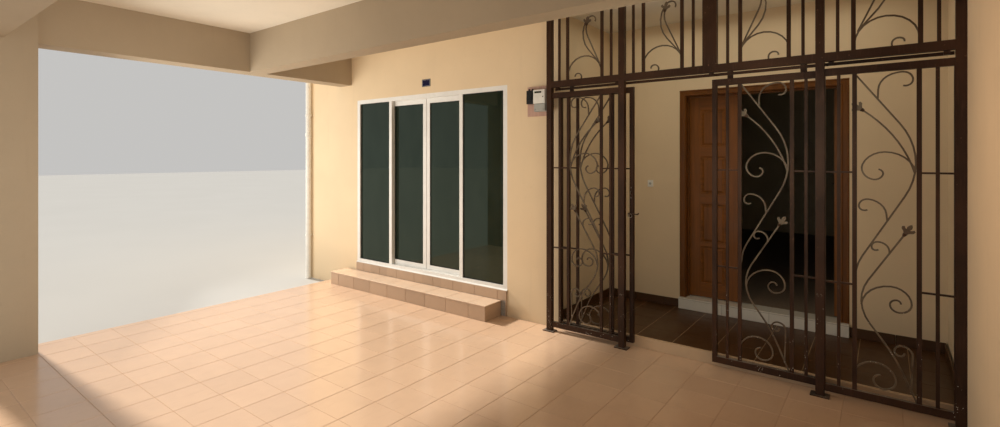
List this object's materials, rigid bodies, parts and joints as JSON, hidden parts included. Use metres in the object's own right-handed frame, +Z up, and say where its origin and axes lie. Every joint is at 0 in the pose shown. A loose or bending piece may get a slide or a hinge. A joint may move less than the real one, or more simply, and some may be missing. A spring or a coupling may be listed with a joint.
{
  "type": "bungalow with a front porch, sliding glass door and wrought-iron entrance grille",
  "caption": "Gable-roofed single-storey house with a deep corner porch, sliding glass door, panelled double door and a wrought-iron grille with sliding gates.",
  "frame": {"origin": "on the ground under the middle of the ridge, at the centre of the house's plan", "axes": "+Z up, the front with the porch faces -Y, +X to the right seen from the front, ridge along X"},
  "size_m": [11.25, 12.25, 6.4908],
  "materials": {
    "plaster": "painted plaster",
    "beam_plaster": "painted plaster",
    "ceiling_board": "painted board",
    "floor_tile": "glazed tile",
    "entry_tile": "glazed tile",
    "band_tile": "glazed tile",
    "roof_tile": "matt",
    "trim_board": "painted",
    "white_aluminium": "powder coat",
    "tinted_glass": "dark tint",
    "brown_timber": "varnished",
    "door_furniture": "satin",
    "dark_iron": "chipped gloss paint",
    "bare_steel": "dull",
    "white_pvc": "matt",
    "white_stone": "polished",
    "pink_board": "painted",
    "meter_case": "matt",
    "navy_plate": "enamel"
  },
  "bodies": {
    "house": {"porch_floor": "floor_tile", "entry_floor": "entry_tile", "house_floor": "floor_tile", "front_step": "floor_tile", "slider_sill": "band_tile", "entry_threshold": "white_stone", "left_wall": "plaster", "right_wall": "plaster", "back_wall": "plaster", "bedroom_front_wall": "plaster", "porch_right_wall": "plaster", "front_wall_left": "plaster", "front_wall_head": "plaster", "front_wall_right": "plaster", "entry_left_wall": "plaster", "entry_back_walls": "plaster", "entry_back_head": "plaster", "porch_gable_wall": "plaster", "porch_column": "beam_plaster", "side_beam": "beam_plaster", "front_beam": "beam_plaster", "cross_beam": "beam_plaster", "porch_ceiling": "ceiling_board", "house_ceiling": "ceiling_board", "roof_front": "roof_tile", "roof_back": "roof_tile", "ridge_cap": "roof_tile", "fascia_boards": "trim_board", "barge_boards": "trim_board", "eave_soffits": "trim_board", "corner_downpipe": "white_pvc", "slider_frame": "white_aluminium", "fixed_glass": "tinted_glass", "door_frame": "brown_timber", "grille_posts": "dark_iron", "grille_transom": "dark_iron", "left_fixed_grille": "dark_iron", "right_fixed_grille": "dark_iron", "window_frames": "white_aluminium", "window_glass": "tinted_glass", "meter_board": "pink_board", "meter_units": "meter_case", "number_plate": "navy_plate"},
    "left_sliding_leaf": {"left_slider_leaf": "white_aluminium", "left_slider_glass": "tinted_glass"},
    "right_sliding_leaf": {"right_slider_leaf": "white_aluminium", "right_slider_glass": "tinted_glass"},
    "small_leaf": {"small_door_leaf": "brown_timber"},
    "main_leaf": {"main_door_leaf": "brown_timber", "door_handle": "door_furniture"},
    "left_grille_gate": {"left_gate": "dark_iron", "left_gate_hangers": "bare_steel"},
    "right_grille_gate": {"right_gate": "dark_iron", "right_gate_hangers": "bare_steel"}
  },
  "joints": [
    {"name": "left_leaf_slide", "type": "slide", "parent": "house", "child": "left_sliding_leaf", "axis": [-1, 0, 0], "range_m": [0, 0.53]},
    {"name": "right_leaf_slide", "type": "slide", "parent": "house", "child": "right_sliding_leaf", "axis": [1, 0, 0], "range_m": [0, 0.53]},
    {"name": "small_leaf_hinge", "type": "hinge", "parent": "house", "child": "small_leaf", "pos_m": [-0.449, -0.46, 1.3], "axis": [0, 0, 1], "range_deg": [0, 90]},
    {"name": "main_leaf_hinge", "type": "hinge", "parent": "house", "child": "main_leaf", "pos_m": [0.811, -0.46, 1.3], "axis": [0, 0, 1], "range_deg": [0, 90]},
    {"name": "left_gate_slide", "type": "slide", "parent": "house", "child": "left_grille_gate", "axis": [1, 0, 0], "range_m": [0, 0.611]},
    {"name": "right_gate_slide", "type": "slide", "parent": "house", "child": "right_grille_gate", "axis": [1, 0, 0], "range_m": [0, 0.611]}
  ]
}
